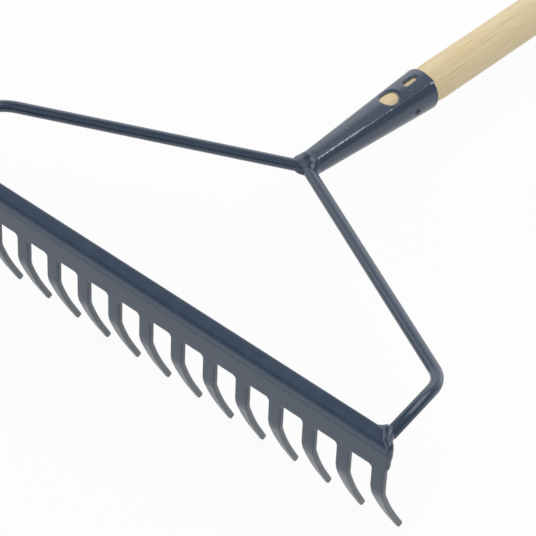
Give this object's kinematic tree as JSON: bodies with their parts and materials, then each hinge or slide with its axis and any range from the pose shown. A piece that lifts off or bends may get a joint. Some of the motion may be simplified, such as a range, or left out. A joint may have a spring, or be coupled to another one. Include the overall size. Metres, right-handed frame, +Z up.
{
  "type": "garden rake",
  "caption": "Bow rake: toothed steel bar on a bent round bow, with a rolled socket and a long turned wooden shaft.",
  "frame": {"origin": "on the floor under the middle of the rake's bounding box, with the rake lying on its tooth tips and the edge of the shaft's butt", "axes": "+Z up, +Y along the shaft from the toothed bar towards the butt, +X along the toothed bar to the right of a person holding the shaft"},
  "size_m": [0.4254, 1.5922, 0.089],
  "materials": {
    "bar_paint": "gloss dark blue enamel",
    "bow_paint": "gloss dark blue enamel",
    "socket_paint": "gloss dark blue enamel",
    "weld_paint": "gloss dark blue enamel over weld beads",
    "rivet_steel": "dark painted steel",
    "ash_wood": "smooth sanded, light varnish"
  },
  "bodies": {
    "root": {"toothed_bar": "bar_paint", "bow_rod": "bow_paint", "socket": "socket_paint", "shaft": "ash_wood", "rivet": "rivet_steel", "neck_weld": "weld_paint", "left_end_weld": "weld_paint", "right_end_weld": "weld_paint"}
  },
  "joints": []
}
